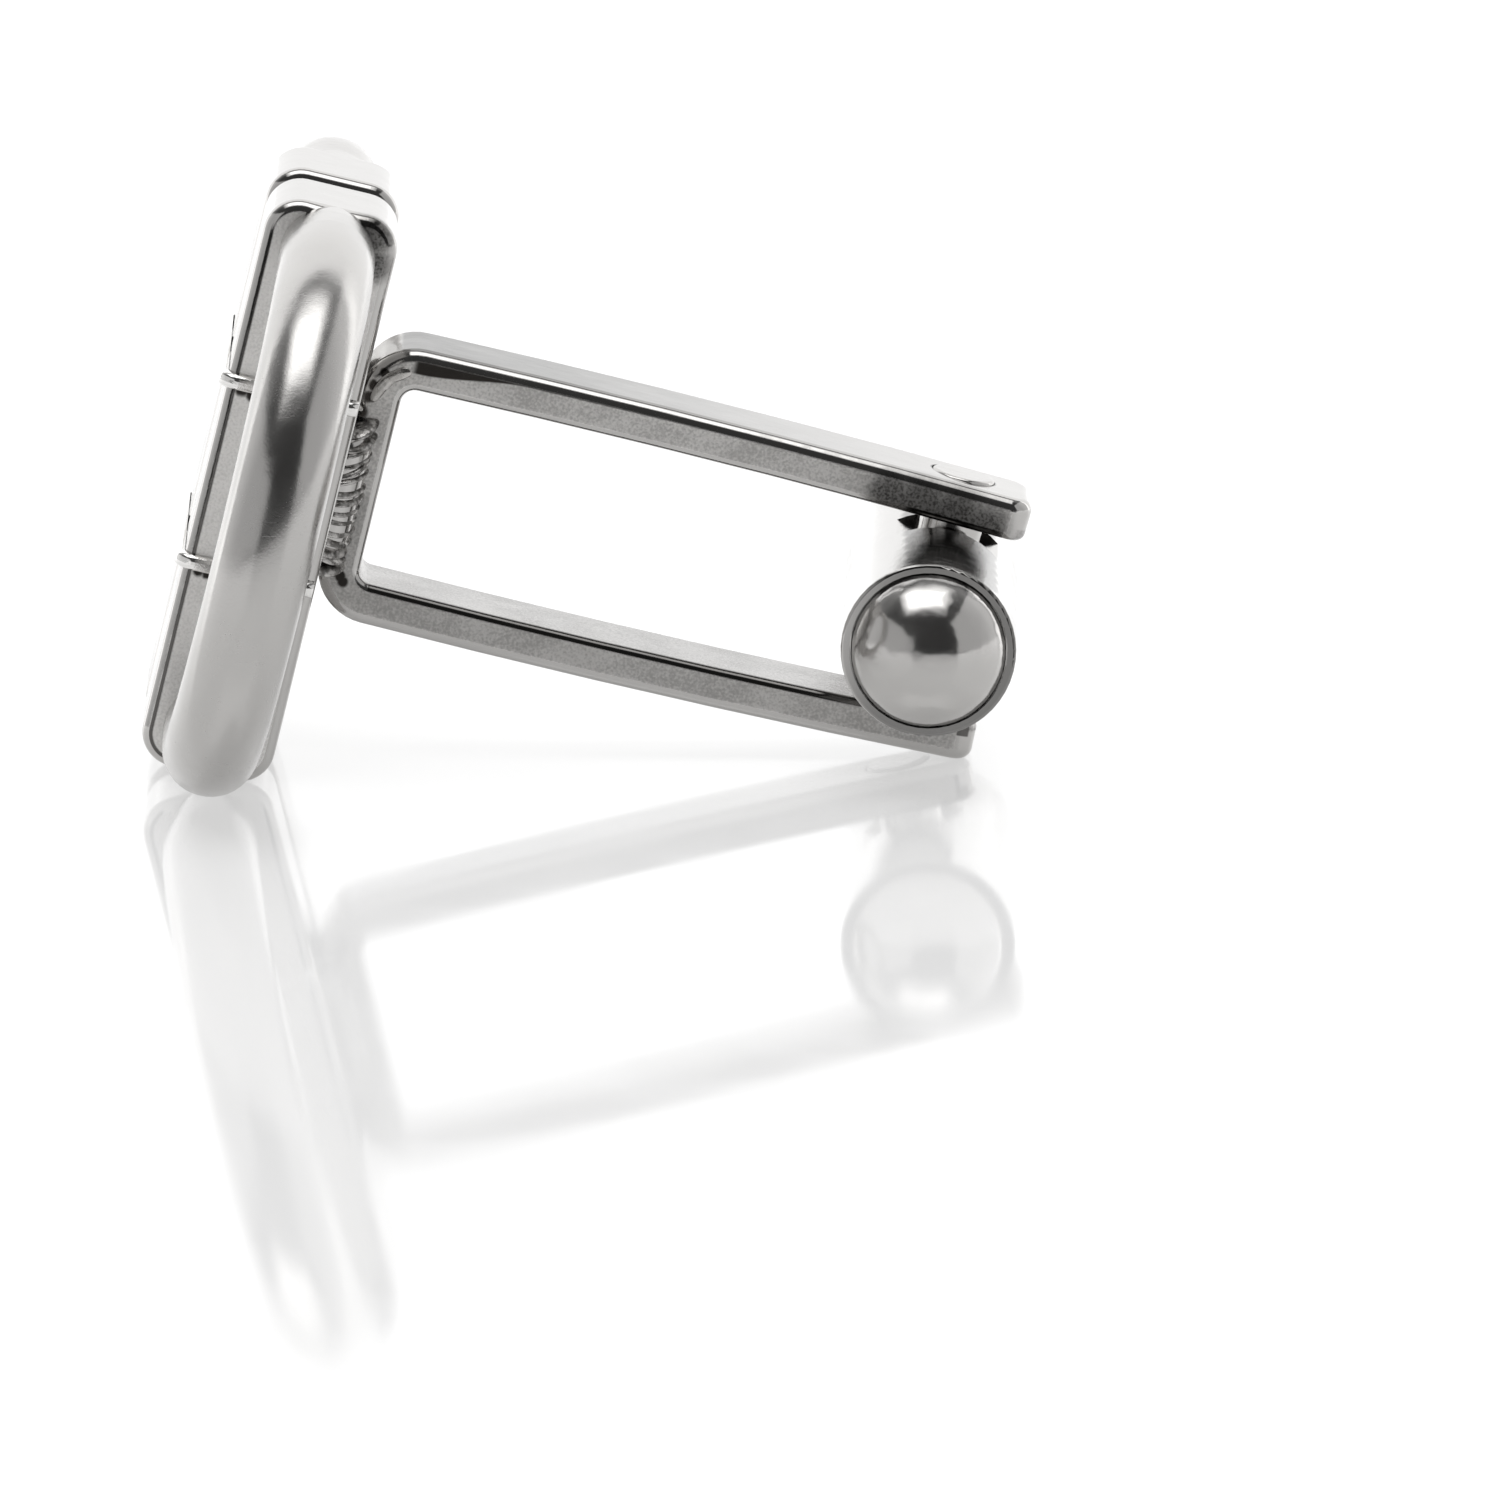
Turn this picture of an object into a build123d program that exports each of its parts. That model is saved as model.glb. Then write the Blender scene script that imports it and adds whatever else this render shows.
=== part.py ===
"""Horse bit cufflink, lying on its side as it rests when unworn.

The front is a pair of D rings whose straight bars stand side by side, held by two bands. A bent
strip is welded across the backs of the bars, and a toggle swivels between its two arms.

Each piece is drawn as it is worn: X runs back from the bars to the toggle, Z runs up the bars and
Y runs across them. At the end all pieces are turned together to the angle at which they lie.
"""

import os
from math import asin, atan2, degrees, hypot

from build123d import *

# Bars of the two D rings
bar_height = 16.36
bar_thickness = 3.73
bar_width = 3.73
bar_gap = 1.07
bar_end_radius = 0.98
bar_edge_radius = 0.32

# Round bows of the two D rings, each a half circle as tall as the bar
wire_diameter = 2.65
bow_reach = 9.95

# Bent strip behind the bars, a frame that is open between the tips of its two arms
strip_width = 3.11
strip_thickness = 1.16
frame_reach = 18.92
frame_bend_radius = 0.4
base_height = 7.88
base_rise = 0.4
tip_height = 7.53
tip_rise = 0.34
arm_bow = 0.14
outer_edge_radius = 0.34
inner_edge_radius = 0.22
tip_corner_radius = 0.62

# Weld beads between the strip and the bars
bead_radius = 0.76
bead_sink = 0.05
bead_length = 3.9
bead_rise = 0.02

# Bands that hold both bars together, open at the back
band_height = 0.44
band_thickness = 0.25
band_pitch = 5.21
band_rise = 0.24
band_edge_radius = 0.18
band_corner_radius = 0.34
band_clearance = 0.02
band_end_setback = 0.05

# Pin through the ends of the arms
pin_diameter = 1.78
pin_setback = 2.03
pin_proud = 0.07
pin_edge_radius = 0.11
pin_seat_clearance = 0.02

# Toggle that swivels on the pin
toggle_diameter = 4.84
toggle_length = 12.71
toggle_rise = 0.38
toggle_turn = -1.6
toggle_edge_radius = 0.09
rim_width = 0.24
notch_depth = 0.48
notch_length = 2.13
swivel_clearance = 0.05

# Domed caps in the toggle's ends
cap_seat_depth = 0.8
cap_rise = 1.5
cap_clearance = 0.04

# Places that follow from the sizes above
bar_side = bar_gap / 2 + bar_width
wire_radius = wire_diameter / 2
bow_axis_x = -bar_thickness / 2
bow_axis_y = bar_side + bow_reach - wire_radius
bow_axis_z = bar_height / 2 - wire_radius
bow_middle_y = bow_axis_y - bow_axis_z
base_top = base_rise + base_height / 2
base_bottom = base_rise - base_height / 2
tip_top = tip_rise + tip_height / 2
tip_bottom = tip_rise - tip_height / 2
pin_x = frame_reach - pin_setback
pin_share = pin_x / frame_reach
bow_at_pin = 4 * arm_bow * pin_share * (1 - pin_share)
pin_top = base_top + (tip_top - base_top) * pin_share + bow_at_pin + pin_proud
pin_bottom = base_bottom + (tip_bottom - base_bottom) * pin_share - bow_at_pin - pin_proud
toggle_radius = toggle_diameter / 2

# Near D ring: a square bar with a round wire bow
with BuildPart() as near_ring:
    with BuildSketch(Plane.XZ.offset(bar_gap / 2)):
        with Locations((-bar_thickness / 2, 0)):
            RectangleRounded(bar_thickness, bar_height, bar_end_radius)
    extrude(amount=bar_width)
    fillet(near_ring.faces().filter_by(Axis.Y).edges(), bar_edge_radius)
    # The legs of the bow start at the middle of the bar's width
    with BuildLine(Plane.YZ.offset(bow_axis_x)) as bow_line:
        Line((bar_width / 2 - bar_side, bow_axis_z), (-bow_middle_y, bow_axis_z))
        ThreePointArc((-bow_middle_y, bow_axis_z), (-bow_axis_y, 0), (-bow_middle_y, -bow_axis_z))
        Line((-bow_middle_y, -bow_axis_z), (bar_width / 2 - bar_side, -bow_axis_z))
    with BuildSketch(Plane(origin=bow_line.line @ 0, z_dir=bow_line.line % 0)):
        Circle(wire_radius)
    sweep()

# Bent strip: a base across the bars, and two arms that bow outwards a little on their way back
with BuildPart() as back_frame:
    with BuildSketch(Plane.XZ):
        with BuildLine() as outer_line:
            ThreePointArc(
                (frame_reach, tip_top),
                (frame_reach / 2, (base_top + tip_top) / 2 + arm_bow),
                (0, base_top),
            )
            Line((0, base_top), (0, base_bottom))
            ThreePointArc(
                (0, base_bottom),
                (frame_reach / 2, (base_bottom + tip_bottom) / 2 - arm_bow),
                (frame_reach, tip_bottom),
            )
            base_corners = outer_line.vertices().group_by(Axis.X)[0]
            fillet(base_corners, frame_bend_radius + strip_thickness)
            offset(amount=strip_thickness, side=Side.LEFT)
        make_face()
    extrude(amount=strip_width / 2, both=True)
    # Corners of the two tips, seen from above
    tips = back_frame.faces().sort_by(Axis.X)[-2:]
    fillet(tips.edges().filter_by(Axis.Y, reverse=True), tip_corner_radius)
    # Edges all round the outer side, then all round the inner side
    tips = back_frame.faces().filter_by(GeomType.PLANE).sort_by(Axis.X)[-2:]
    tip_edges = tips.edges().filter_by(Axis.Y).sort_by_distance((frame_reach, 0, tip_rise))
    fillet(tip_edges[-1], outer_edge_radius)
    tips = back_frame.faces().filter_by(GeomType.PLANE).sort_by(Axis.X)[-2:]
    tip_edges = tips.edges().filter_by(Axis.Y).sort_by_distance((frame_reach, 0, tip_rise))
    fillet(tip_edges[0], inner_edge_radius)
    # Bores for the pin
    with Locations((pin_x, 0, base_rise)):
        Cylinder(pin_diameter / 2 + pin_seat_clearance, 2 * base_height, mode=Mode.SUBTRACT)

# Weld bead in the corner between the near bar's back and the strip's edge, its axis just inside both
with BuildPart() as near_bead:
    bead_middle = (-bead_sink, bead_sink - strip_width / 2, bead_rise)
    with BuildSketch(Plane(origin=bead_middle, x_dir=(-1, 1, 0), z_dir=(1, 1, 0))):
        SlotOverall(bead_length, 2 * bead_radius, rotation=90)
        split(bisect_by=Plane.YZ)
    revolve(axis=Axis(bead_middle, (0, 0, 1)))

# Bit and frame: the two D rings, the strip and the weld beads are one solid piece of metal
with BuildPart() as bit_and_frame:
    add(near_ring.part)
    add(near_bead.part)
    mirror(about=Plane.XZ)
    add(back_frame.part)

# Band round the front and the two sides of the pair of bars, its ends just short of their backs
with BuildPart() as upper_band:
    with BuildSketch(Plane.XY.offset(band_rise + band_pitch / 2 - band_height / 2)):
        with Locations((-bar_thickness / 2, 0)):
            RectangleRounded(
                bar_thickness + 2 * (band_clearance + band_thickness),
                2 * (bar_side + band_clearance + band_thickness),
                band_corner_radius + band_thickness,
            )
            RectangleRounded(
                bar_thickness + 2 * band_clearance,
                2 * (bar_side + band_clearance),
                band_corner_radius,
                mode=Mode.SUBTRACT,
            )
        split(bisect_by=Plane.YZ.offset(-band_end_setback), keep=Keep.BOTTOM)
    extrude(amount=band_height)
    outer_faces = upper_band.faces().filter_by(Axis.X).sort_by(Axis.X)[0]
    fillet(outer_faces.edges().filter_by(Axis.Y), band_edge_radius)

with BuildPart() as lower_band:
    with Locations((0, 0, -band_pitch)):
        add(upper_band.part)

# Pin through the arms and the toggle, its ends just proud of the outer sides of the arms
with BuildPart() as pivot_pin:
    with Locations((pin_x, 0, (pin_top + pin_bottom) / 2)):
        Cylinder(pin_diameter / 2, pin_top - pin_bottom)
    fillet(pivot_pin.edges().filter_by(GeomType.CIRCLE), pin_edge_radius)

# Toggle: a round bar with a seat in each end, a notch above and below, and a bore for the pin
with BuildPart() as toggle_barrel:
    with BuildSketch(Plane.XZ):
        with Locations((pin_x, toggle_rise)):
            Circle(toggle_radius)
    extrude(amount=toggle_length / 2, both=True)
    fillet(toggle_barrel.edges().filter_by(GeomType.CIRCLE), toggle_edge_radius)
    with BuildSketch(*toggle_barrel.faces().filter_by(Axis.Y)):
        Circle(toggle_radius - rim_width)
    extrude(amount=-cap_seat_depth, mode=Mode.SUBTRACT)
    with Locations(
        (pin_x, 0, toggle_rise + toggle_radius),
        (pin_x, 0, toggle_rise - toggle_radius),
    ):
        Box(toggle_diameter, notch_length, 2 * notch_depth, mode=Mode.SUBTRACT)
    with Locations((pin_x, 0, toggle_rise)):
        Cylinder(pin_diameter / 2 + swivel_clearance, toggle_diameter, mode=Mode.SUBTRACT)

# Domed cap in the toggle's near end: a short cylinder, rounded off by a sphere from the rim outwards
with BuildPart() as toggle_cap_near:
    cap_radius = toggle_radius - rim_width - cap_clearance
    dome_radius = (cap_radius**2 + cap_rise**2) / (2 * cap_rise)
    cap_top = toggle_length / 2 + cap_rise
    cap_floor = toggle_length / 2 - cap_seat_depth + cap_clearance
    with BuildSketch(Plane.XZ.offset(cap_floor)):
        with Locations((pin_x, toggle_rise)):
            Circle(cap_radius)
    extrude(amount=cap_top - cap_floor)
    with Locations((pin_x, dome_radius - cap_top, toggle_rise)):
        Sphere(dome_radius, mode=Mode.INTERSECT)

with BuildPart() as toggle_cap_far:
    add(toggle_cap_near.part)
    mirror(about=Plane.XZ, mode=Mode.REPLACE)

# Lying, the bars' lower corner and the tip of the lower arm both touch the surface
bar_corner = (-bar_end_radius, bar_end_radius - bar_height / 2)
arm_corner = (frame_reach - outer_edge_radius, tip_bottom + outer_edge_radius)
run = arm_corner[0] - bar_corner[0]
rise = arm_corner[1] - bar_corner[1]
lean = degrees(atan2(rise, run) + asin((bar_end_radius - outer_edge_radius) / hypot(run, rise)))

bit_and_frame.part.label = "bit_and_frame"
upper_band.part.label = "upper_band"
lower_band.part.label = "lower_band"
pivot_pin.part.label = "pivot_pin"
toggle_barrel.part.label = "toggle_barrel"
toggle_cap_near.part.label = "toggle_cap_near"
toggle_cap_far.part.label = "toggle_cap_far"
pieces = [
    bit_and_frame.part,
    upper_band.part,
    lower_band.part,
    pivot_pin.part,
    toggle_barrel.part,
    toggle_cap_near.part,
    toggle_cap_far.part,
]

# As it lies, the toggle is turned a little on its pin
pin_place = Location((pin_x, 0, 0))
turned = pin_place * Location((0, 0, 0), (0, 0, toggle_turn)) * pin_place.inverse()
for piece in (toggle_barrel.part, toggle_cap_near.part, toggle_cap_far.part):
    piece.move(turned)

# The origin is on the surface, under the middle of the cufflink
for piece in pieces:
    piece.move(Location((0, 0, 0), (0, lean, 0)))
size = Compound(pieces).bounding_box()
for piece in pieces:
    piece.move(Location((-size.center().X, -size.center().Y, -size.min.Z)))

os.makedirs("parts", exist_ok=True)
for piece in pieces:
    export_step(piece, f"parts/{piece.label}.step")
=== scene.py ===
"""Horse bit cufflink on a white table: its finishes, weld, solder, table, camera and lamps."""

from math import cos, pi, radians, sin

import bmesh
import bpy
from mathutils import Matrix, Vector, geometry, noise


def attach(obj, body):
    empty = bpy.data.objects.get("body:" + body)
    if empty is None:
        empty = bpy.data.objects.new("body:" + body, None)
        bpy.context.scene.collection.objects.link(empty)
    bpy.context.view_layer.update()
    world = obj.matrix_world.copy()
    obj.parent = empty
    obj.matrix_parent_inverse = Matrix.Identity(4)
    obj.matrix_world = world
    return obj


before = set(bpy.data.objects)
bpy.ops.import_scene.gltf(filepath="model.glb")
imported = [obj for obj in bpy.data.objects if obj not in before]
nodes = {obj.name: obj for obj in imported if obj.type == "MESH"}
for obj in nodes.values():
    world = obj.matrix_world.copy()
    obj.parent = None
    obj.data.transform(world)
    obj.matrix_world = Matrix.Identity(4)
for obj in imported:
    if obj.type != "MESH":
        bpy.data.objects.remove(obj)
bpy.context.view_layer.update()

# Front and arms
# The D rings, the bars and the strip behind them are stainless steel, soldered into one piece and polished.
# The cut sides of the bars and of the strip are only finely ground, so they are darker and grained.
# Painted light lies in their colour too: lighter bar sides, darker faces between the arms, painted shade and
# dark reflections.
mm = 0.001

# How the cufflink leans from the way it is worn to the way it lies
lean = radians(13.7154)
face_middle = Vector((-6.957002, 0, 7.751327)) * mm
worn_to_lying = Matrix.Translation(face_middle) @ Matrix.Rotation(lean, 4, "Y")

# Places as worn, where one surface ends and the next begins
bar_side = 4.6 * mm
bars_start = 1.7 * mm
strip_reach = 1.6 * mm
strip_side = 1.5 * mm
window_rise = 0.37 * mm
window_half_height = 2.88 * mm
window_start = 0.9 * mm
outer_face_height = 3.78 * mm
outer_face_margin = 0.25 * mm
outer_face_start = 0.02 * mm
heat_end = 21 * mm
soft_edge = 0.1 * mm

# Painted dark reflections along the edges, and the seam round the pin, as worn
low_edge_height = -2.42 * mm
low_edge_half_width = 0.3 * mm
low_edge_side = 1.37 * mm
low_edge_start = 1.5 * mm
front_edge_back = -3.0 * mm
front_edge_top = 7.0 * mm
front_edge_side = 3.8 * mm
wedge_top = 4.0 * mm
wedge_depth = 0.34 * mm
wedge_start = 1.4 * mm
wedge_end = 4.6 * mm
pin_back = 16.89 * mm
seam_inner = 0.88 * mm
seam_outer = 0.93 * mm

# How squarely a surface faces across: on the flat sides, and where a rounded edge begins and ends
flat_facing = 0.985, 0.998
edge_start_facing = 0.9, 0.93
edge_end_facing = 0.998, 0.99

# Colours, with a dark and a light one for each ground face
polished_colour = (0.52, 0.51, 0.498, 1.0)
# The bars' ground faces are painted lighter than the strip's, against the shade of the rings' bows
lightened_bar_ground_colours = (0.84, 0.828, 0.81, 1.0), (1.0, 0.985, 0.966, 1.0)
strip_ground_colours = (0.52, 0.51, 0.497, 1.0), (0.77, 0.756, 0.738, 1.0)
# The ground faces inside the window, between the arms, are painted darker: painted shade
shaded_inner_ground_colours = (0.28, 0.274, 0.267, 1.0), (0.42, 0.411, 0.402, 1.0)
# A dark colour for painted shade and painted dark reflections
painted_dark_colour = (0.06, 0.057, 0.054, 1.0)
heat_colour = (0.1, 0.098, 0.095, 1.0)
# A dark colour for soot, the pin's seam and the painted dark reflection of the wedge
soot_and_reflection_colour = (0.05, 0.046, 0.042, 1.0)
# How far painted shade darkens the lower arm's sides, and painted dark reflections the edges
low_side_shade = 0.2
low_edge_reflection = 0.85
front_edge_reflection = 0.9

# What each finish adds to the roughness of the polished metal, and the grain of the ground faces
ground_roughness = 0.13
cut_side_roughness = 0.28
bow_roughness = 0.11
# The soot's roughness also lies on the painted dark reflection of the wedge
soot_and_reflection_roughness = 0.08
fine_grain_size = 0.075
cloud_size = 1.5
fine_share = 0.6
cloud_share = 0.4
shade_limits = 0.36, 0.62
grain_depth = 0.006
bow_grain = 0.35
tear_size = 0.3


def worn(back, across, up):
    """A point given in millimetres as the cufflink is worn, in metres as it lies."""
    return worn_to_lying @ (Vector((back, across, up)) * mm)


def calculate(tree, operation, first, second=None, third=None):
    """A Math node on sockets or plain numbers; gives its result."""
    node = tree.nodes.new("ShaderNodeMath")
    node.operation = operation
    for socket, value in zip(node.inputs, (first, second, third)):
        if isinstance(value, bpy.types.NodeSocket):
            tree.links.new(value, socket)
        elif value is not None:
            socket.default_value = value
    return node.outputs[0]


def combine(tree, operation, *values):
    """One Math operation on any number of values, from left to right."""
    result = values[0]
    for value in values[1:]:
        result = calculate(tree, operation, result, value)
    return result


def remap(tree, value, low, high, low_result=0.0, high_result=1.0):
    """A smooth step of a value between two limits."""
    node = tree.nodes.new("ShaderNodeMapRange")
    node.interpolation_type = "SMOOTHSTEP"
    tree.links.new(value, node.inputs["Value"])
    node.inputs["From Min"].default_value = low
    node.inputs["From Max"].default_value = high
    node.inputs["To Min"].default_value = low_result
    node.inputs["To Max"].default_value = high_result
    return node.outputs["Result"]


def split(tree, vector):
    """The X, Y and Z of a vector."""
    node = tree.nodes.new("ShaderNodeSeparateXYZ")
    tree.links.new(vector, node.inputs[0])
    return node.outputs


def grain(tree, place, size, detail=3.0, stretch=(1, 1, 1)):
    """Noise with cells of the given size in millimetres, drawn out along an axis by stretch."""
    mapping = tree.nodes.new("ShaderNodeMapping")
    mapping.inputs["Scale"].default_value = tuple(1 / (size * mm * longer) for longer in stretch)
    mapping.inputs["Rotation"].default_value = (0, -lean, 0)
    tree.links.new(place, mapping.inputs["Vector"])
    node = tree.nodes.new("ShaderNodeTexNoise")
    node.inputs["Scale"].default_value = 1.0
    node.inputs["Detail"].default_value = detail
    tree.links.new(mapping.outputs["Vector"], node.inputs["Vector"])
    return node.outputs["Fac"]


def blend_colour(tree, factor, first, second):
    """Mix of two colours, each a socket or a plain colour."""
    node = tree.nodes.new("ShaderNodeMix")
    node.data_type = "RGBA"
    tree.links.new(factor, node.inputs["Factor"])
    for socket, value in ((node.inputs[6], first), (node.inputs[7], second)):
        if isinstance(value, bpy.types.NodeSocket):
            tree.links.new(value, socket)
        else:
            socket.default_value = value
    return node.outputs[2]


def new_finish(name, metallic=1.0):
    """A material with its tree, its shader, and its Texture Coordinate node."""
    material = bpy.data.materials.new(name)
    material.use_nodes = True
    tree = material.node_tree
    shader = tree.nodes["Principled BSDF"]
    shader.inputs["Metallic"].default_value = metallic
    coordinates = tree.nodes.new("ShaderNodeTexCoord")
    return material, tree, shader, coordinates


def connect_bump(tree, shader, height, depth, under=None):
    """Bump of the given depth in millimetres, on top of another bump if there is one."""
    bump = tree.nodes.new("ShaderNodeBump")
    bump.inputs["Strength"].default_value = 1.0
    bump.inputs["Distance"].default_value = depth * mm
    tree.links.new(height, bump.inputs["Height"])
    if under is not None:
        tree.links.new(under, bump.inputs["Normal"])
    tree.links.new(bump.outputs["Normal"], shader.inputs["Normal"])
    return bump.outputs["Normal"]


def polish(tree, shader, place, low, high, waves):
    """Polished metal: thin hairlines, faint smears, and waves of the given depth from the buffing wheel."""
    smear_size, hairline_size, hairline_stretch, hairline_depth, wave_size = 1.6, 0.05, 40, 0.006, 1.1
    smears = remap(tree, grain(tree, place, smear_size, 4.0), 0.35, 0.7, low, high)
    hairlines = grain(tree, place, hairline_size, 2.0, (hairline_stretch, 1, 1))
    hairlines = remap(tree, hairlines, 0.62, 0.74, 0.0, 0.06)
    roughness = calculate(tree, "ADD", smears, hairlines)
    tree.links.new(roughness, shader.inputs["Roughness"])
    ripple = grain(tree, place, wave_size, 2.0)
    fine_lines = calculate(tree, "MULTIPLY", hairlines, hairline_depth / waves)
    return roughness, connect_bump(tree, shader, calculate(tree, "SUBTRACT", ripple, fine_lines), waves)


def along(tree, place, direction):
    """How far a point is from the middle of the face along a direction as worn, in metres."""
    axis = worn_to_lying.to_3x3() @ Vector(direction)
    product = tree.nodes.new("ShaderNodeVectorMath")
    product.operation = "DOT_PRODUCT"
    tree.links.new(place, product.inputs[0])
    product.inputs[1].default_value = axis
    return calculate(tree, "SUBTRACT", product.outputs["Value"], face_middle.dot(axis))


def patches(tree, place, spots, core):
    """1 near any of the given places, 0 beyond their reach; core is the share of the reach that is full."""
    joined = None
    for spot, reach in spots:
        gap = tree.nodes.new("ShaderNodeVectorMath")
        gap.operation = "DISTANCE"
        tree.links.new(place, gap.inputs[0])
        gap.inputs[1].default_value = worn(*spot)
        patch = remap(tree, gap.outputs["Value"], reach * mm, core * reach * mm)
        joined = patch if joined is None else calculate(tree, "MAXIMUM", joined, patch)
    return joined


def give_finish(name, material):
    """Puts a material on a CAD node in place of its plain one."""
    nodes[name].data.materials.clear()
    nodes[name].data.materials.append(material)


# Soot and flux that the torch left: place as worn, and reach, in millimetres
soot_places = (
    ((0.16, -1.6, 2.3), 0.36),
    ((0.28, -1.5, 2.75), 0.3),
    ((0.34, -1.5, 3.1), 0.28),
    ((0.55, -1.5, 3.5), 0.26),
    ((0.1, -1.6, -2.25), 0.3),
    ((0.8, -1.56, -2.5), 0.26),
    ((0.68, -1.56, -2.36), 0.26),
    ((0.5, -1.56, -2.28), 0.26),
    ((0.3, -1.56, -2.26), 0.26),
    ((-3.25, -4.27, 2.62), 0.36),
    ((-2.95, -4.27, 2.6), 0.4),
    ((-3.25, -4.27, -2.52), 0.34),
    ((-2.95, -4.27, -2.56), 0.36),
)
# Painted dark reflection on the upper arm near the toggle, where it mirrors the dark barrel, and dark patches
# near the top of the near bar beside its ring
painted_dark_places = (
    ((14.9, -1.6, 3.5), 0.9),
    ((15.8, -1.6, 3.35), 1.25),
    ((16.8, -1.6, 3.2), 1.4),
    ((17.7, -1.6, 3.1), 1.05),
    ((-0.8, -4.3, 7.7), 0.9),
    ((-0.5, -4.3, 6.9), 0.7),
)
bit_steel, tree, shader, coordinates = new_finish("bit_steel")
place = coordinates.outputs["Object"]
roughness, polished_bump = polish(tree, shader, place, low=0.08, high=0.15, waves=0.012)

# Masks: each is 1 on one surface and 0 elsewhere
facing_side = calculate(tree, "ABSOLUTE", split(tree, coordinates.outputs["Normal"])["Y"])
across = calculate(tree, "ABSOLUTE", split(tree, place)["Y"])
back = along(tree, place, (1, 0, 0))
up = along(tree, place, (0, 0, 1))
from_window_middle = calculate(tree, "ABSOLUTE", calculate(tree, "SUBTRACT", up, window_rise))
inside_bar_side = calculate(tree, "LESS_THAN", across, bar_side)
on_bow = calculate(tree, "GREATER_THAN", across, bar_side)
on_bars = calculate(tree, "GREATER_THAN", across, bars_start)
on_strip = calculate(tree, "LESS_THAN", across, strip_reach)
on_side = remap(tree, facing_side, *flat_facing)
cut_side = calculate(tree, "MULTIPLY", on_side, inside_bar_side)
in_window = combine(
    tree,
    "MULTIPLY",
    remap(tree, from_window_middle, window_half_height + soft_edge, window_half_height),
    calculate(tree, "GREATER_THAN", back, window_start),
    remap(tree, across, strip_side, strip_side - soft_edge),
)
ground = calculate(tree, "MAXIMUM", cut_side, in_window)
outer_face = combine(
    tree,
    "MULTIPLY",
    remap(tree, from_window_middle, outer_face_height, outer_face_height + 0.08 * mm),
    remap(tree, across, strip_side, strip_side - outer_face_margin),
    remap(tree, back, outer_face_start, outer_face_start + soft_edge),
)
# The flat sides of the lower arm, painted a little darker: painted shade
low_side = combine(tree, "MULTIPLY", calculate(tree, "LESS_THAN", up, 0.0), cut_side, on_strip)

# Grain and clouds of the ground faces
fine_grain = grain(tree, place, fine_grain_size, 5.0)
cloudy = grain(tree, place, cloud_size, 3.0, (1.6, 1, 1))
shade = calculate(tree, "MULTIPLY", cloudy, cloud_share)
shade = calculate(tree, "MULTIPLY_ADD", fine_grain, fine_share, shade)
shade = remap(tree, shade, *shade_limits)
lightened_bar_ground = blend_colour(tree, shade, *lightened_bar_ground_colours)
strip_ground = blend_colour(tree, shade, *strip_ground_colours)
shaded_inner_ground = blend_colour(tree, shade, *shaded_inner_ground_colours)

# A brown tint where the torch heated the outer faces of the arms, fading towards the tips
heat = combine(
    tree, "MULTIPLY", outer_face, remap(tree, back, heat_end, 0.0), remap(tree, cloudy, 0.3, 0.7, 0.8, 1.0)
)

# A painted dark reflection: a dark line along the inner near edge of the lower arm
from_low_edge = calculate(tree, "ABSOLUTE", calculate(tree, "SUBTRACT", up, low_edge_height))
low_edge = combine(
    tree,
    "MULTIPLY",
    remap(tree, from_low_edge, low_edge_half_width + 0.02 * mm, low_edge_half_width - 0.02 * mm),
    remap(tree, across, low_edge_side, low_edge_side + 0.05 * mm),
    on_strip,
    calculate(tree, "GREATER_THAN", back, low_edge_start),
    calculate(tree, "SUBTRACT", 1.0, on_side),
    low_edge_reflection,
)

# A painted dark reflection: a dark line down the front edge of each bar
front_edge = combine(
    tree,
    "MULTIPLY",
    remap(tree, facing_side, *edge_start_facing),
    remap(tree, facing_side, *edge_end_facing),
    calculate(tree, "LESS_THAN", back, front_edge_back),
    remap(tree, up, front_edge_top + 0.5 * mm, front_edge_top),
    inside_bar_side,
    calculate(tree, "GREATER_THAN", across, front_edge_side),
    front_edge_reflection,
)

# A painted dark reflection: a wedge under the edge of the upper arm, deepest at the bend
wedge_reach = remap(tree, back, wedge_start, wedge_end, wedge_depth, -0.02 * mm)
wedge = combine(
    tree,
    "MULTIPLY",
    remap(tree, calculate(tree, "ADD", up, wedge_reach), wedge_top, wedge_top + 0.06 * mm),
    remap(tree, back, wedge_start - 0.2 * mm, wedge_start + 0.02 * mm),
    on_side,
    on_strip,
)

# A dark seam round the pin's ends, broken here and there
beside_pin = calculate(tree, "SUBTRACT", back, pin_back)
beside_pin = calculate(tree, "POWER", beside_pin, 2.0)
from_pin = calculate(tree, "SQRT", calculate(tree, "ADD", beside_pin, calculate(tree, "POWER", across, 2.0)))
seam = combine(
    tree,
    "MULTIPLY",
    remap(tree, from_pin, seam_inner - 0.03 * mm, seam_inner),
    remap(tree, from_pin, seam_outer + 0.04 * mm, seam_outer),
    remap(tree, grain(tree, place, 0.8, 2.0), 0.35, 0.6, 0.3, 0.9),
)

# The soot has torn edges, and the painted dark patches let a little of the grain through
torn = calculate(tree, "SUBTRACT", grain(tree, place, tear_size, 3.0), 0.5)
soot_seam_and_reflection = remap(tree, calculate(tree, "ADD", patches(tree, place, soot_places, 0.2), torn), 0.3, 0.9)
# The painted dark reflection of the wedge and the pin's seam take the soot's colour
soot_seam_and_reflection = combine(tree, "MAXIMUM", soot_seam_and_reflection, wedge, seam)
painted_dark = patches(tree, place, painted_dark_places, 0.3)
painted_dark = calculate(tree, "MULTIPLY", painted_dark, remap(tree, fine_grain, 0.3, 0.6, 0.95, 0.7))
# The painted dark reflections along the edges join the painted dark patches
painted_dark = combine(tree, "MAXIMUM", painted_dark, low_edge, front_edge)

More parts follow.
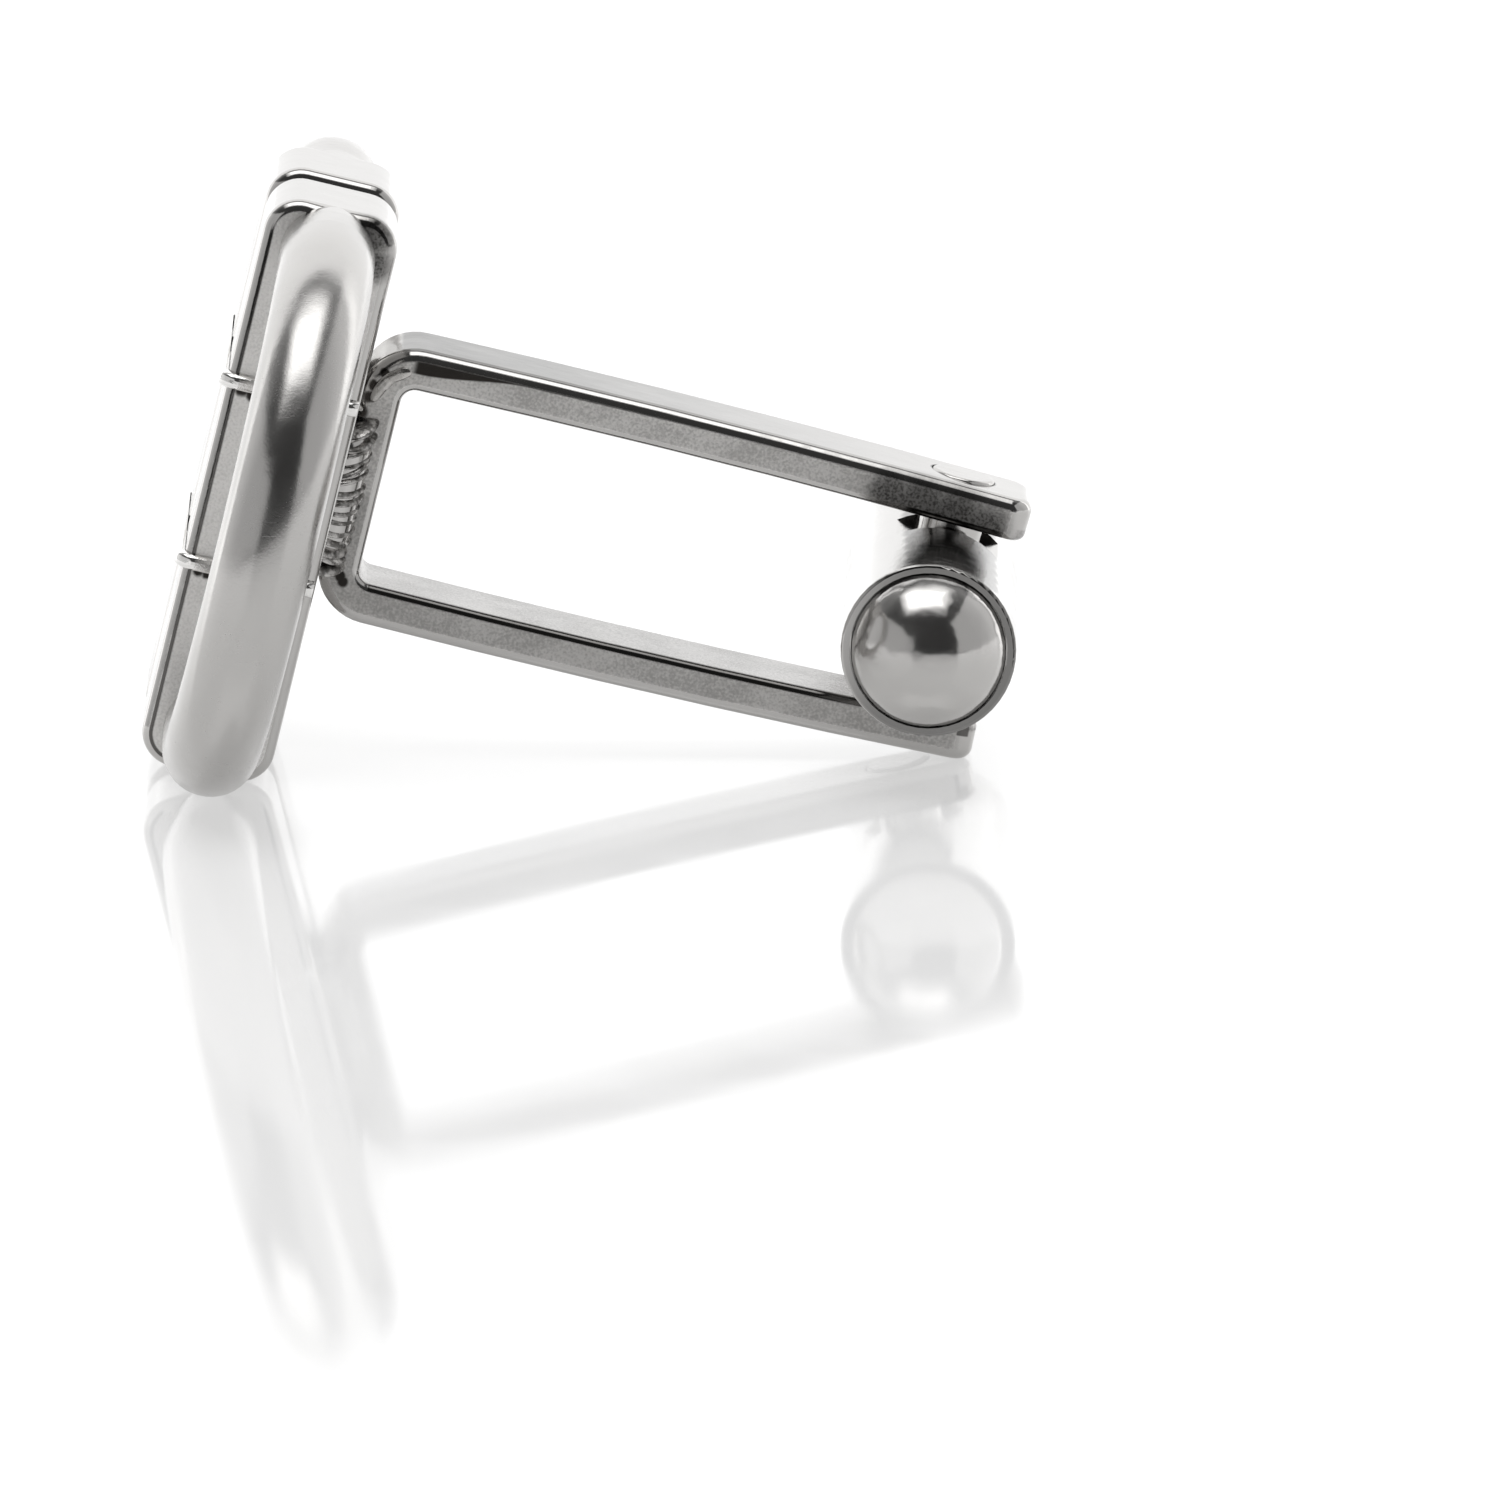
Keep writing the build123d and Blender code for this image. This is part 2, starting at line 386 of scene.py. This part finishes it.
# The colour carries painted light: lighter bar sides, darker window faces, painted shade and painted dark
# reflections
ground_colour = blend_colour(tree, on_bars, strip_ground, lightened_bar_ground)
colour = blend_colour(tree, cut_side, polished_colour, ground_colour)
for mask, tone in (
    (in_window, shaded_inner_ground),
    (heat, heat_colour),
    (calculate(tree, "MULTIPLY", low_side, low_side_shade), painted_dark_colour),
    (painted_dark, painted_dark_colour),
    (soot_seam_and_reflection, soot_and_reflection_colour),
):
    colour = blend_colour(tree, mask, colour, tone)
tree.links.new(colour, shader.inputs["Base Color"])
for mask, added in (
    (ground, ground_roughness),
    (cut_side, cut_side_roughness),
    (on_bow, bow_roughness),
    (soot_seam_and_reflection, soot_and_reflection_roughness),
):
    roughness = calculate(tree, "MULTIPLY_ADD", mask, added, roughness)
tree.links.new(roughness, shader.inputs["Roughness"])
grained = calculate(tree, "MAXIMUM", ground, calculate(tree, "MULTIPLY", on_bow, bow_grain))
grained = calculate(tree, "MULTIPLY", fine_grain, grained)
connect_bump(tree, shader, grained, grain_depth, under=polished_bump)
give_finish("bit_and_frame", bit_steel)

# Bands
# Two thin steel bands are bent round both bars and buffed until their corners are soft.
# Buffing along the band leaves fine lines across the front.
band_colour = (0.86, 0.85, 0.835, 1.0)
band_roughness = 0.05, 0.16
band_steel, tree, shader, coordinates = new_finish("band_steel")
shader.inputs["Base Color"].default_value = band_colour
place = coordinates.outputs["Object"]
band_lines = remap(tree, grain(tree, place, 0.04, 2.0, (1, 30, 1)), 0.35, 0.7, *band_roughness)
tree.links.new(band_lines, shader.inputs["Roughness"])
connect_bump(tree, shader, band_lines, depth=0.004)
give_finish("upper_band", band_steel)
give_finish("lower_band", band_steel)

# Weld beads
# The strip is welded to the back of the near bar and of the far bar, in short overlapping pools of metal.
# Each pool froze as a thin crescent, so the bead looks like a row of tilted coins.
ripple_sizes = {
    "Ripples": 15,
    "Length": 3.75 * mm,
    "Radius": 0.83 * mm,
    "Depth": 0.92 * mm,
    "Thickness": 0.17 * mm,
    "Tilt": radians(24),
    "Fan": radians(-50),
    "Seed": 3,
}
ripple_turns = 0.12, 0.16, 0.3
ripple_scales = 0.95, 1.03
ripple_segments = 40
ripple_rings = 16
# Middle of each bead as worn (back, across, up), and the side to which its ripples tilt
bead_places = {"near_weld": (-0.05, -1.505, 0.02, 1), "far_weld": (-0.05, 1.505, 0.02, -1)}
oxide_colour = (0.16, 0.154, 0.147, 1.0)
bare_weld_colour = (0.56, 0.547, 0.532, 1.0)
weld_roughness = 0.4, 0.22
weld_steel, tree, shader, coordinates = new_finish("weld_steel")
place = coordinates.outputs["Object"]
bare = remap(tree, grain(tree, place, 0.22, 4.0), 0.4, 0.62)
tree.links.new(blend_colour(tree, bare, oxide_colour, bare_weld_colour), shader.inputs["Base Color"])
roughness = remap(tree, grain(tree, place, 0.3, 3.0), 0.3, 0.7, *weld_roughness)
tree.links.new(roughness, shader.inputs["Roughness"])
connect_bump(tree, shader, grain(tree, place, 0.08, 4.0), depth=0.012)


def make_vector(tree, **parts):
    """A vector with the given X, Y and Z."""
    node = tree.nodes.new("ShaderNodeCombineXYZ")
    for axis, value in parts.items():
        tree.links.new(value, node.inputs[axis])
    return node.outputs[0]


def add_object(name, data):
    """An object with the given data, linked to the scene."""
    item = bpy.data.objects.new(name, data)
    bpy.context.scene.collection.objects.link(item)
    return item


group = bpy.data.node_groups.new("ripple_row", "GeometryNodeTree")
ripple_inputs = {}
for label, value in ripple_sizes.items():
    kind = "NodeSocketInt" if isinstance(value, int) else "NodeSocketFloat"
    socket = group.interface.new_socket(name=label, in_out="INPUT", socket_type=kind)
    socket.default_value = value
    ripple_inputs[label] = socket.identifier
group.interface.new_socket(name="Geometry", in_out="OUTPUT", socket_type="NodeSocketGeometry")
given = group.nodes.new("NodeGroupInput").outputs
result = group.nodes.new("NodeGroupOutput")

# The pools stand in a line along the joint
line = group.nodes.new("GeometryNodeMeshLine")
line.mode = "END_POINTS"
line_start = make_vector(group, Z=calculate(group, "MULTIPLY", given["Length"], -0.5))
line_end = make_vector(group, Z=calculate(group, "MULTIPLY", given["Length"], 0.5))
group.links.new(line_start, line.inputs["Start Location"])
group.links.new(line_end, line.inputs["Offset"])
group.links.new(given["Ripples"], line.inputs["Count"])

# Each pool is a flattened ball
pool = group.nodes.new("GeometryNodeMeshUVSphere")
pool.inputs["Segments"].default_value = ripple_segments
pool.inputs["Rings"].default_value = ripple_rings
pool.inputs["Radius"].default_value = 1.0
pool_size = make_vector(group, X=given["Radius"], Y=given["Depth"], Z=given["Thickness"])
pool_shape = group.nodes.new("GeometryNodeTransform")
group.links.new(pool.outputs["Mesh"], pool_shape.inputs["Geometry"])
group.links.new(pool_size, pool_shape.inputs["Scale"])

# It tilts and fans out along the row, and the welder's hand makes it a little uneven
pool_turn = group.nodes.new("FunctionNodeRandomValue")
pool_turn.data_type = "FLOAT_VECTOR"
pool_turn.inputs[0].default_value = [-turn for turn in ripple_turns]
pool_turn.inputs[1].default_value = ripple_turns
group.links.new(given["Seed"], pool_turn.inputs["Seed"])
height = split(group, group.nodes.new("GeometryNodeInputPosition").outputs[0])["Z"]
share = calculate(group, "DIVIDE", height, given["Length"])
pool_tilt = make_vector(group, X=given["Tilt"], Y=calculate(group, "MULTIPLY", share, given["Fan"]))
pool_angle = group.nodes.new("ShaderNodeVectorMath")
group.links.new(pool_turn.outputs[0], pool_angle.inputs[0])
group.links.new(pool_tilt, pool_angle.inputs[1])
pool_scale = group.nodes.new("FunctionNodeRandomValue")
pool_scale.data_type = "FLOAT"
pool_scale.inputs[2].default_value, pool_scale.inputs[3].default_value = ripple_scales
group.links.new(given["Seed"], pool_scale.inputs["Seed"])
pools = group.nodes.new("GeometryNodeInstanceOnPoints")
group.links.new(line.outputs["Mesh"], pools.inputs["Points"])
group.links.new(pool_shape.outputs["Geometry"], pools.inputs["Instance"])
group.links.new(pool_angle.outputs[0], pools.inputs["Rotation"])
group.links.new(pool_scale.outputs[1], pools.inputs["Scale"])
row = group.nodes.new("GeometryNodeRealizeInstances")
group.links.new(pools.outputs["Instances"], row.inputs["Geometry"])
finish = group.nodes.new("GeometryNodeSetMaterial")
finish.inputs["Material"].default_value = weld_steel
group.links.new(row.outputs["Geometry"], finish.inputs["Geometry"])
group.links.new(finish.outputs["Geometry"], result.inputs["Geometry"])

for seed, (name, (bead_back, bead_across, bead_up, side)) in enumerate(bead_places.items(), 3):
    maker = add_object(name + "_maker", bpy.data.meshes.new(name + "_maker"))
    modifier = maker.modifiers.new("ripples", "NODES")
    modifier.node_group = group
    for label, value in ripple_sizes.items():
        modifier[ripple_inputs[label]] = value
    modifier[ripple_inputs["Tilt"]] = side * ripple_sizes["Tilt"]
    modifier[ripple_inputs["Seed"]] = seed
    mesh = bpy.data.meshes.new_from_object(maker.evaluated_get(bpy.context.evaluated_depsgraph_get()))
    bpy.data.objects.remove(maker)
    mesh.transform(worn_to_lying @ Matrix.Translation(Vector((bead_back, bead_across, bead_up)) * mm))
    mesh.polygons.foreach_set("use_smooth", [True] * len(mesh.polygons))
    weld = add_object(name, mesh)
    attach(weld, "bit")

# Solder
# Where the torch met a joint, a little solder ran out and froze: a tongue round each bend of the strip,
# and small drops at the ends of the welds and beside the bands. It is warm grey and a little dull.
run_steps = 32
run_sides = 24
run_unevenness = 0.3
lumps_round = 3
lumps_along = 2.2
noise_apart = 7.3
smallest_end = 0.002
solder_roughness = 0.34, 0.2
dull_solder_colour = (0.4, 0.388, 0.372, 1.0)
bright_solder_colour = (0.58, 0.565, 0.545, 1.0)
# For each run: four points as worn (back, up), then half its width and thickness, and its place across
solder_runs = {
    "near_bend_solder": ((0.4, 2.62), (0.5, 3.25), (0.8, 3.55), (1.28, 3.72), 0.17, 0.06, -1.555),
    "far_bend_solder": ((0.45, 2.7), (0.5, 3.2), (0.85, 3.6), (1.2, 3.7), 0.16, 0.06, 1.555),
    "bead_top_solder": ((-0.1, 2.5), (0.0, 2.5), (0.1, 2.42), (0.16, 2.3), 0.1, 0.12, -1.62),
    "bead_foot_solder": ((0.08, -1.9), (0.1, -2.1), (0.18, -2.2), (0.3, -2.25), 0.14, 0.2, -1.62),
    "upper_band_solder": ((-3.62, 2.72), (-3.6, 2.8), (-3.56, 2.88), (-3.5, 2.94), 0.12, 0.08, -4.265),
    "lower_band_solder": ((-3.7, -2.2), (-3.68, -2.3), (-3.64, -2.4), (-3.6, -2.48), 0.1, 0.08, -4.265),
}
solder_steel, tree, shader, coordinates = new_finish("solder_steel")
place = coordinates.outputs["Object"]
cloud = remap(tree, grain(tree, place, 0.35, 3.0), 0.38, 0.6)
colour = blend_colour(tree, cloud, dull_solder_colour, bright_solder_colour)
tree.links.new(colour, shader.inputs["Base Color"])
roughness = remap(tree, grain(tree, place, 0.25, 3.0), 0.3, 0.7, *solder_roughness)
tree.links.new(roughness, shader.inputs["Roughness"])
connect_bump(tree, shader, grain(tree, place, 0.12, 3.0), depth=0.008)
for number, (name, values) in enumerate(solder_runs.items()):
    *knots, half_width, half_thickness, side_face = values
    knots = [Vector((knot_back, 0, knot_up)) for knot_back, knot_up in knots]
    path = geometry.interpolate_bezier(*knots, run_steps + 1)
    lump = bmesh.new()
    rings = []
    for step, point in enumerate(path):
        share = 2 * step / run_steps - 1
        swell = max(1 - share**4, smallest_end) ** 0.5
        ahead = (path[min(step + 1, run_steps)] - path[max(step - 1, 0)]).normalized()
        sideways = ahead.cross(Vector((0, 1, 0)))
        ring = []
        for corner in range(run_sides):
            angle = 2 * pi * corner / run_sides
            place_in_noise = lumps_round * cos(angle), lumps_round * sin(angle)
            place_in_noise += (lumps_along * share + noise_apart * number,)
            uneven = 1 + run_unevenness * noise.noise(Vector(place_in_noise))
            out = sideways * cos(angle) * half_width + Vector((0, 1, 0)) * sin(angle) * half_thickness
            spot = point + Vector((0, side_face, 0)) + out * swell * uneven
            ring.append(lump.verts.new(worn(*spot)))
        rings.append(ring)
    for first, second in zip(rings, rings[1:]):
        for corner in range(run_sides):
            after = (corner + 1) % run_sides
            lump.faces.new((first[corner], first[after], second[after], second[corner]))
    lump.faces.new(rings[0][::-1])
    lump.faces.new(rings[-1])
    bmesh.ops.recalc_face_normals(lump, faces=lump.faces)
    mesh = bpy.data.meshes.new(name)
    lump.to_mesh(mesh)
    lump.free()
    mesh.polygons.foreach_set("use_smooth", [True] * len(mesh.polygons))
    mesh.materials.append(solder_steel)
    piece = add_object(name, mesh)
    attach(piece, "bit")

# Pivot pin
# A steel pin stands in both arms, its ends dressed flush by hand with a fine file.
# The file leaves short straight lines in one direction.
pin_roughness = 0.08, 0.24
pin_steel, tree, shader, coordinates = new_finish("pin_steel")
shader.inputs["Base Color"].default_value = polished_colour
file_lines = grain(tree, coordinates.outputs["Object"], 0.05, 2.0, (14, 1, 14))
tree.links.new(remap(tree, file_lines, 0.35, 0.7, *pin_roughness), shader.inputs["Roughness"])
connect_bump(tree, shader, file_lines, depth=0.004)
give_finish("pivot_pin", pin_steel)

# Toggle barrel
# A turned steel bar with a seat bored in each end and a flat notch milled above and below.
# It is polished in the lathe, so its finest lines run round it, and its top under the arm is dark with grime.
grime_colour = (0.07, 0.067, 0.064, 1.0)
grime_reach = 1.52
grime_core = 0.86
grime_places = tuple(
    ((16.95, grime_across, 2.8), grime_reach)
    for grime_across in (-5.4, -4.4, -3.4, -2.4, -1.4, 1.4, 2.4, 3.4, 4.4, 5.4)
)
rim_colour = (0.24, 0.236, 0.23, 1.0)
rim_start = 6.27 * mm
smear_roughness = 0.05, 0.11
lathe_roughness = 0.0, 0.06
barrel_steel, tree, shader, coordinates = new_finish("barrel_steel")
place = coordinates.outputs["Object"]
lathe_lines = grain(tree, place, 0.045, 2.0, (30, 1, 30))
smears = remap(tree, grain(tree, place, 1.4, 4.0), 0.35, 0.7, *smear_roughness)
roughness = calculate(tree, "ADD", smears, remap(tree, lathe_lines, 0.5, 0.7, *lathe_roughness))
tree.links.new(roughness, shader.inputs["Roughness"])
connect_bump(tree, shader, lathe_lines, depth=0.003)
grime = patches(tree, place, grime_places, grime_core)
grime = calculate(tree, "MULTIPLY", grime, remap(tree, lathe_lines, 0.3, 0.6, 0.95, 0.82))
across = calculate(tree, "ABSOLUTE", split(tree, place)["Y"])
on_rim = remap(tree, across, rim_start, rim_start + 0.06 * mm)
colour = blend_colour(tree, grime, polished_colour, grime_colour)
tree.links.new(blend_colour(tree, on_rim, colour, rim_colour), shader.inputs["Base Color"])
give_finish("toggle_barrel", barrel_steel)

# Toggle caps
# A domed steel plug is pressed into each end of the barrel and buffed to a mirror.
# It carries a few smears and hairlines from handling.
cap_steel, tree, shader, coordinates = new_finish("cap_steel")
shader.inputs["Base Color"].default_value = polished_colour
polish(tree, shader, coordinates.outputs["Object"], low=0.12, high=0.2, waves=0.05)
give_finish("toggle_cap_near", cap_steel)
give_finish("toggle_cap_far", cap_steel)

# Table
# The cufflink lies on a sheet of white acrylic that glows a little from below, as on a light table.
# The sheet is glossy and ends close in front of the cufflink, so that the metal mirrors a dark room there.
table_half_width = 1.5
table_front = -0.13
table_back = 1.5
table_glow = 0.43
table_colour = (0.5, 0.5, 0.5, 1.0)
table_roughness = 0.05, 0.09
acrylic_ior = 1.5
mesh = bpy.data.meshes.new("table_top")
corners = [(-table_half_width, table_front, 0), (table_half_width, table_front, 0)]
corners += [(table_half_width, table_back, 0), (-table_half_width, table_back, 0)]
mesh.from_pydata(corners, [], [(0, 1, 2, 3)])
table_top = add_object("table_top", mesh)
white_acrylic, tree, shader, coordinates = new_finish("white_acrylic", metallic=0.0)
shader.inputs["Base Color"].default_value = table_colour
shader.inputs["Emission Color"].default_value = (1.0, 1.0, 1.0, 1.0)
shader.inputs["Emission Strength"].default_value = table_glow
shader.inputs["IOR"].default_value = acrylic_ior
cloud = grain(tree, coordinates.outputs["Object"], 6.0, 3.0)
tree.links.new(remap(tree, cloud, 0.3, 0.7, *table_roughness), shader.inputs["Roughness"])
table_top.data.materials.append(white_acrylic)

# Camera
# It stands 533 mm from the cufflink and looks down on it by 11.3 degrees. It is turned a little to the right
# and down, so that the cufflink fills the upper left of the picture.
camera_distance = 533.333
camera_elevation = radians(11.3)
pixels_per_mm = 36
picture_size = 1500
aim_pixel = (592, 468)
sensor_width = 36
aim = Vector((0.116, 0, 8.026)) * mm
right_shift = (picture_size / 2 - aim_pixel[0]) / pixels_per_mm * mm
down_shift = (picture_size / 2 - aim_pixel[1]) / pixels_per_mm * mm
camera_up = Vector((0, sin(camera_elevation), cos(camera_elevation)))
camera_back = Vector((0, -cos(camera_elevation), sin(camera_elevation)))
eye = aim + camera_distance * mm * camera_back
middle = aim + Vector((right_shift, 0, 0)) - down_shift * camera_up
camera = add_object("camera", bpy.data.cameras.new("camera"))
camera.data.sensor_width = sensor_width
camera.data.lens = sensor_width * pixels_per_mm * camera_distance / picture_size
camera.location = eye
camera.rotation_mode = "QUATERNION"
camera.rotation_quaternion = (middle - eye).to_track_quat("-Z", "Y")
bpy.context.scene.camera = camera

# Room
# A white backdrop rises behind the cufflink with a thin dark pole across it, and the room in front is dark.
# Each tone stands for a direction, from -1 in front of the cufflink to 1 behind it.
room_tones = (
    (-1.0, 0.05),
    (-0.2, 0.06),
    (0.1, 0.2),
    (0.36, 0.35),
    (0.4, 0.02),
    (0.44, 0.02),
    (0.48, 1.35),
    (0.85, 1.32),
    (1.0, 1.24),
)
bpy.context.scene.view_settings.view_transform = "Standard"
world = bpy.data.worlds.new("studio")
bpy.context.scene.world = world
world.use_nodes = True
tree = world.node_tree
direction = tree.nodes.new("ShaderNodeTexCoord").outputs["Generated"]
depth = calculate(tree, "MULTIPLY_ADD", split(tree, direction)["Y"], 0.5, 0.5)
ramp = tree.nodes.new("ShaderNodeValToRGB")
steps = ramp.color_ramp.elements
while len(steps) < len(room_tones):
    steps.new(0.5)
for step, (toward_back, tone) in zip(steps, room_tones):
    step.position = toward_back / 2 + 0.5
    step.color = (tone, tone, tone, 1.0)
tree.links.new(depth, ramp.inputs["Fac"])
tree.links.new(ramp.outputs["Color"], tree.nodes["Background"].inputs["Color"])

# Lamps
# A large soft box hangs overhead, brighter towards its middle, with a white panel on each side.
# A narrow bright strip at the back left draws the edges of the metal.


def soft_panel(name, middle, wide_way, high_way, wide, high, radiance):
    """A flat lamp that faces the cufflink, with its size in metres and an even radiance."""
    data = bpy.data.lights.new(name, "AREA")
    data.shape = "RECTANGLE"
    data.size = wide
    data.size_y = high
    data.energy = radiance * wide * high * pi
    wide_way = Vector(wide_way).normalized()
    high_way = Vector(high_way).normalized()
    facing = wide_way.cross(high_way)
    if facing.dot(Vector(middle)) < 0:
        wide_way, facing = -wide_way, -facing
    turn = Matrix((wide_way, high_way, facing)).transposed().to_4x4()
    add_object(name, data).matrix_world = Matrix.Translation(Vector(middle)) @ turn


soft_panel("overhead_box", (-0.04, -0.126, 0.8), (1, 0, 0), (0, 1, 0), 0.92, 0.72, 0.6)
soft_panel("overhead_middle", (-0.04, -0.126, 0.799), (1, 0, 0), (0, 1, 0), 0.78, 0.58, 0.65)
soft_panel("overhead_lamp", (-0.04, -0.126, 0.798), (1, 0, 0), (0, 1, 0), 0.62, 0.42, 1.15)
soft_panel("left_panel", (-0.676, -0.181, 0.25), (0.259, -0.966, 0), (0, 0, 1), 1.86, 0.5, 0.52)
soft_panel("right_panel", (0.698, -0.049, 0.41), (-0.07, -0.998, 0), (0, 0, 1), 1.45, 0.82, 0.54)
soft_panel("back_strip", (-0.63, 0.42, 0.72), (0.344, -0.034, 0.309), (0.53, 0.55, -0.53), 0.47, 0.05, 1.5)
